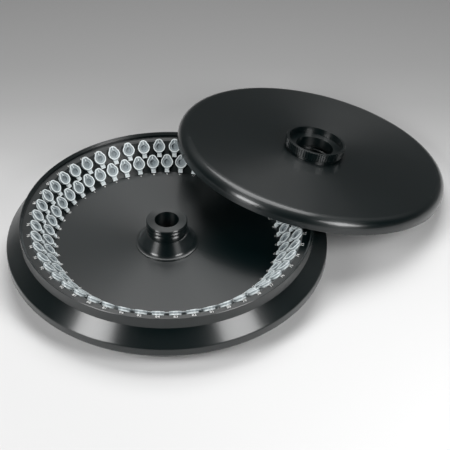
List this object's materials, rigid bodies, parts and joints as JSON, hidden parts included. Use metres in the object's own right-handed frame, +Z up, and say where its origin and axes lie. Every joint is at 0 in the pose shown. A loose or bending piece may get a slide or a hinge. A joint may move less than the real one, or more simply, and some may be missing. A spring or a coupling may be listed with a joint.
{
  "type": "centrifuge rotor",
  "caption": "Fixed-angle centrifuge rotor with two rings of capped micro tubes round a central hub, and a loose domed-edge lid with a knurled lock ring leaning on its rim.",
  "frame": {"origin": "centre of the spindle bore in the rotor's base plane", "axes": "+Z up along the spin axis, -Y towards the viewer of the picture, the lid leans towards +X and +Y"},
  "size_m": [0.475, 0.4359, 0.0903],
  "materials": {
    "rotor_metal": "black hard-anodised, satin",
    "lid_metal": "black hard-anodised, fine turned satin",
    "ring_metal": "black anodised, knurled",
    "steel": "turned steel",
    "vial_plastic": "frosted translucent polypropylene",
    "cap_plastic": "frosted translucent polypropylene",
    "seal_rubber": "matt black rubber"
  },
  "bodies": {
    "rotor": {"rotor_body": "rotor_metal", "hub": "rotor_metal", "spindle_bush": "steel", "hub_screws": "steel", "outer_vials": "vial_plastic", "outer_caps": "cap_plastic", "inner_vials": "vial_plastic", "inner_caps": "cap_plastic"},
    "lid": {"lid_disc": "lid_metal", "lid_seal": "seal_rubber", "thrust_washer": "ring_metal"},
    "lock_ring": {"lock_ring": "ring_metal", "ring_seal": "seal_rubber", "retaining_ring": "steel"},
    "vial_56": {"vial_56": "vial_plastic"},
    "cap_56": {"cap_56": "cap_plastic"},
    "vial_74": {"vial_74": "vial_plastic"},
    "cap_74": {"cap_74": "cap_plastic"},
    "vial_82": {"vial_82": "vial_plastic"},
    "cap_82": {"cap_82": "cap_plastic"},
    "vial_90": {"vial_90": "vial_plastic"},
    "cap_90": {"cap_90": "cap_plastic"},
    "vial_98": {"vial_98": "vial_plastic"},
    "cap_98": {"cap_98": "cap_plastic"},
    "vial_6": {"vial_6": "vial_plastic"},
    "cap_6": {"cap_6": "cap_plastic"},
    "vial_24": {"vial_24": "vial_plastic"},
    "cap_24": {"cap_24": "cap_plastic"},
    "vial_32": {"vial_32": "vial_plastic"},
    "cap_32": {"cap_32": "cap_plastic"},
    "vial_40": {"vial_40": "vial_plastic"},
    "cap_40": {"cap_40": "cap_plastic"},
    "vial_48": {"vial_48": "vial_plastic"},
    "cap_48": {"cap_48": "cap_plastic"}
  },
  "joints": [
    {"name": "lid_lift", "type": "slide", "parent": "rotor", "child": "lid", "axis": [0, 0, 1], "range_m": [0, 0.15]},
    {"name": "lock_ring_turn", "type": "hinge", "parent": "lid", "child": "lock_ring", "pos_m": [0.15793, 0.11771, 0.03874], "axis": [0.2055, 0.1532, 0.9666], "continuous": true},
    {"name": "vial_56_draw", "type": "slide", "parent": "rotor", "child": "vial_56", "axis": [0.2185, -0.6725, 0.7071], "range_m": [0, 0.045]},
    {"name": "cap_56_open", "type": "hinge", "parent": "vial_56", "child": "cap_56", "pos_m": [-0.04021, 0.12376, 0.04083], "axis": [0.9511, 0.309, 0], "range_deg": [0, 105]},
    {"name": "vial_74_draw", "type": "slide", "parent": "rotor", "child": "vial_74", "axis": [-0.6575, 0.2603, 0.7071], "range_m": [0, 0.045]},
    {"name": "cap_74_open", "type": "hinge", "parent": "vial_74", "child": "cap_74", "pos_m": [0.12099, -0.0479, 0.04083], "axis": [-0.3681, -0.9298, 0], "range_deg": [0, 105]},
    {"name": "vial_82_draw", "type": "slide", "parent": "rotor", "child": "vial_82", "axis": [-0.1325, 0.6946, 0.7071], "range_m": [0, 0.045]},
    {"name": "cap_82_open", "type": "hinge", "parent": "vial_82", "child": "cap_82", "pos_m": [0.02438, -0.12783, 0.04083], "axis": [-0.9823, -0.1874, 0], "range_deg": [0, 105]},
    {"name": "vial_90_draw", "type": "slide", "parent": "rotor", "child": "vial_90", "axis": [0.5155, 0.484, 0.7071], "range_m": [0, 0.045]},
    {"name": "cap_90_open", "type": "hinge", "parent": "vial_90", "child": "cap_90", "pos_m": [-0.09486, -0.08908, 0.04083], "axis": [-0.6845, 0.729, 0], "range_deg": [0, 105]},
    {"name": "vial_98_draw", "type": "slide", "parent": "rotor", "child": "vial_98", "axis": [0.6849, -0.1759, 0.7071], "range_m": [0, 0.045]},
    {"name": "cap_98_open", "type": "hinge", "parent": "vial_98", "child": "cap_98", "pos_m": [-0.12604, 0.03236, 0.04083], "axis": [0.2487, 0.9686, 0], "range_deg": [0, 105]},
    {"name": "vial_6_draw", "type": "slide", "parent": "rotor", "child": "vial_6", "axis": [0.2603, -0.6575, 0.7071], "range_m": [0, 0.045]},
    {"name": "cap_6_open", "type": "hinge", "parent": "vial_6", "child": "cap_6", "pos_m": [-0.04343, 0.10968, 0.02866], "axis": [0.9298, 0.3681, 0], "range_deg": [0, 105]},
    {"name": "vial_24_draw", "type": "slide", "parent": "rotor", "child": "vial_24", "axis": [-0.6725, 0.2185, 0.7071], "range_m": [0, 0.045]},
    {"name": "cap_24_open", "type": "hinge", "parent": "vial_24", "child": "cap_24", "pos_m": [0.1122, -0.03645, 0.02866], "axis": [-0.309, -0.9511, 0], "range_deg": [0, 105]},
    {"name": "vial_32_draw", "type": "slide", "parent": "rotor", "child": "vial_32", "axis": [-0.1759, 0.6849, 0.7071], "range_m": [0, 0.045]},
    {"name": "cap_32_open", "type": "hinge", "parent": "vial_32", "child": "cap_32", "pos_m": [0.02934, -0.11426, 0.02866], "axis": [-0.9686, -0.2487, 0], "range_deg": [0, 105]},
    {"name": "vial_40_draw", "type": "slide", "parent": "rotor", "child": "vial_40", "axis": [0.484, 0.5155, 0.7071], "range_m": [0, 0.045]},
    {"name": "cap_40_open", "type": "hinge", "parent": "vial_40", "child": "cap_40", "pos_m": [-0.08075, -0.086, 0.02866], "axis": [-0.729, 0.6845, 0], "range_deg": [0, 105]},
    {"name": "vial_48_draw", "type": "slide", "parent": "rotor", "child": "vial_48", "axis": [0.6946, -0.1325, 0.7071], "range_m": [0, 0.045]},
    {"name": "cap_48_open", "type": "hinge", "parent": "vial_48", "child": "cap_48", "pos_m": [-0.11588, 0.0221, 0.02866], "axis": [0.1874, 0.9823, 0], "range_deg": [0, 105]}
  ]
}
